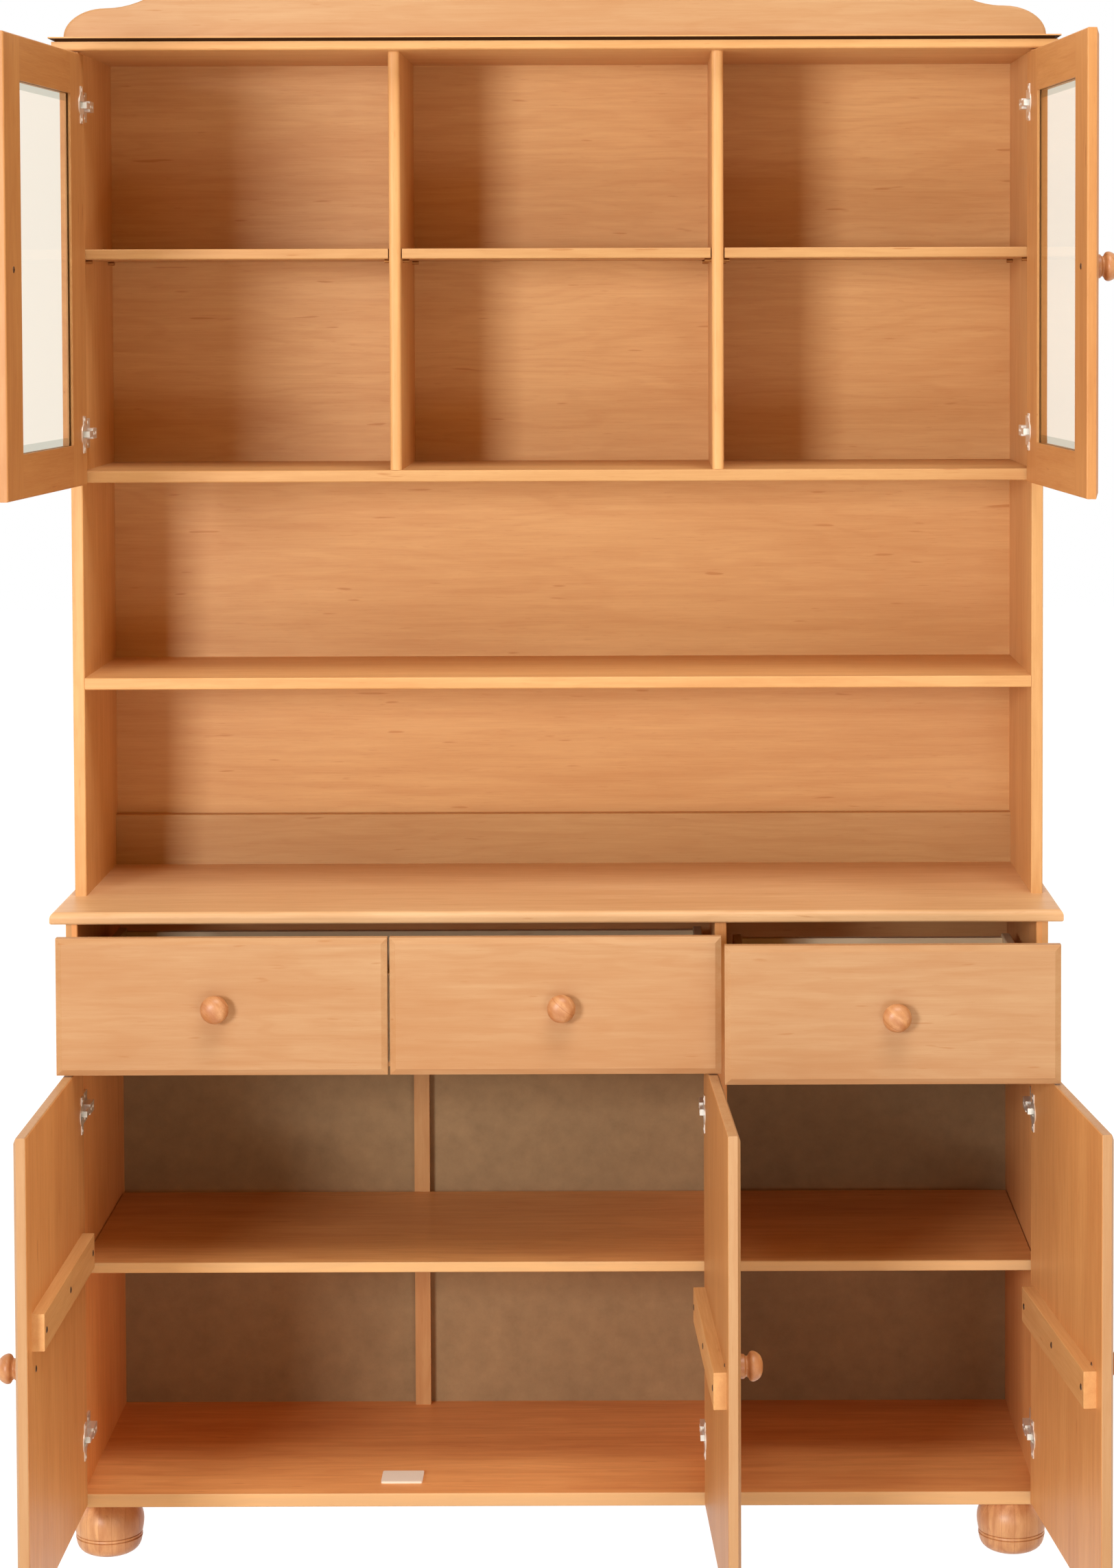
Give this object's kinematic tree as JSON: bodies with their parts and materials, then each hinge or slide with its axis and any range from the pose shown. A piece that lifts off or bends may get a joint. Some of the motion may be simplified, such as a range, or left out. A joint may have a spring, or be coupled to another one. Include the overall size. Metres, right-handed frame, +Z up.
{
  "type": "dresser with hutch",
  "caption": "Pine dresser with a hutch: three cupboard doors and drawers below a worktop, open shelves and glazed cupboards above, on turned bun feet.",
  "frame": {"origin": "on the floor, mid width, half way between the free edges of the open doors and the back", "axes": "+Z up, the front faces -Y, +X to the right of someone standing before it"},
  "size_m": [1.424, 0.8509, 2.135],
  "materials": {
    "honey_pine": "satin lacquer",
    "turned_pine": "satin lacquer",
    "pale_pine": "planed, bare",
    "pine_panel": "satin lacquer",
    "hardboard": "matt",
    "clear_glass": "polished",
    "hinge_steel": "nickel plated",
    "cream_plastic": "matt"
  },
  "bodies": {
    "cabinet": {"worktop": "honey_pine", "base_side_left": "honey_pine", "base_side_right": "honey_pine", "base_partition": "honey_pine", "base_floor": "honey_pine", "base_shelf_wide": "honey_pine", "base_shelf_right": "honey_pine", "base_rails": "honey_pine", "base_back_panels": "hardboard", "back_batten": "honey_pine", "feet": "turned_pine", "drawer_runners": "pale_pine", "shelf_pegs": "hinge_steel", "floor_cover_plate": "cream_plastic", "hutch_side_left": "honey_pine", "hutch_side_right": "honey_pine", "hutch_cornice_board": "honey_pine", "hutch_pediment": "honey_pine", "hutch_divider_left": "honey_pine", "hutch_divider_right": "honey_pine", "hutch_shelf_lower": "honey_pine", "hutch_shelf_fixed": "honey_pine", "hutch_shelves_loose": "honey_pine", "hutch_back_panel": "pine_panel", "hutch_back_rail": "honey_pine", "hinge_arms": "hinge_steel"},
    "left_cupboard_door": {"left_cupboard_door": "honey_pine", "left_cupboard_batten": "honey_pine", "left_cupboard_knob": "turned_pine", "left_cupboard_hinge_cups": "hinge_steel"},
    "middle_cupboard_door": {"middle_cupboard_door": "honey_pine", "middle_cupboard_batten": "honey_pine", "middle_cupboard_knob": "turned_pine", "middle_cupboard_hinge_cups": "hinge_steel"},
    "right_cupboard_door": {"right_cupboard_door": "honey_pine", "right_cupboard_batten": "honey_pine", "right_cupboard_knob": "turned_pine", "right_cupboard_hinge_cups": "hinge_steel"},
    "left_glass_door": {"left_glass_frame": "honey_pine", "left_glass_pane": "clear_glass", "left_glass_knob": "turned_pine", "left_glass_hinge_cups": "hinge_steel"},
    "right_glass_door": {"right_glass_frame": "honey_pine", "right_glass_pane": "clear_glass", "right_glass_knob": "turned_pine", "right_glass_hinge_cups": "hinge_steel"},
    "wide_drawer": {"wide_drawer_front_left": "honey_pine", "wide_drawer_front_right": "honey_pine", "wide_drawer_sides": "pale_pine", "wide_drawer_end_boards": "pale_pine", "wide_drawer_bottom": "hardboard", "wide_drawer_knobs": "turned_pine"},
    "right_drawer": {"right_drawer_front": "honey_pine", "right_drawer_sides": "pale_pine", "right_drawer_back": "pale_pine", "right_drawer_bottom": "hardboard", "right_drawer_knob": "turned_pine"}
  },
  "joints": [
    {"name": "left_cupboard_door_hinge", "type": "hinge", "parent": "cabinet", "child": "left_cupboard_door", "pos_m": [-0.6432, -0.00242, 0.3945], "axis": [0, 0, -1], "range_deg": [-90.4, 7.6]},
    {"name": "middle_cupboard_door_hinge", "type": "hinge", "parent": "cabinet", "child": "middle_cupboard_door", "pos_m": [0.20653, -0.00242, 0.3945], "axis": [0, 0, 1], "range_deg": [-92.9, 5.1]},
    {"name": "right_cupboard_door_hinge", "type": "hinge", "parent": "cabinet", "child": "right_cupboard_door", "pos_m": [0.6432, -0.00242, 0.3945], "axis": [0, 0, 1], "range_deg": [-95.3, 2.7]},
    {"name": "left_glass_door_hinge", "type": "hinge", "parent": "cabinet", "child": "left_glass_door", "pos_m": [-0.6482, 0.11058, 1.73725], "axis": [0, 0, -1], "range_deg": [-94, 4]},
    {"name": "right_glass_door_hinge", "type": "hinge", "parent": "cabinet", "child": "right_glass_door", "pos_m": [0.6482, 0.11058, 1.73725], "axis": [0, 0, 1], "range_deg": [-93.6, 4.4]},
    {"name": "wide_drawer_slide", "type": "slide", "parent": "cabinet", "child": "wide_drawer", "axis": [0, -1, 0], "range_m": [-0.078, 0.202]},
    {"name": "right_drawer_slide", "type": "slide", "parent": "cabinet", "child": "right_drawer", "axis": [0, -1, 0], "range_m": [-0.145, 0.135]}
  ]
}
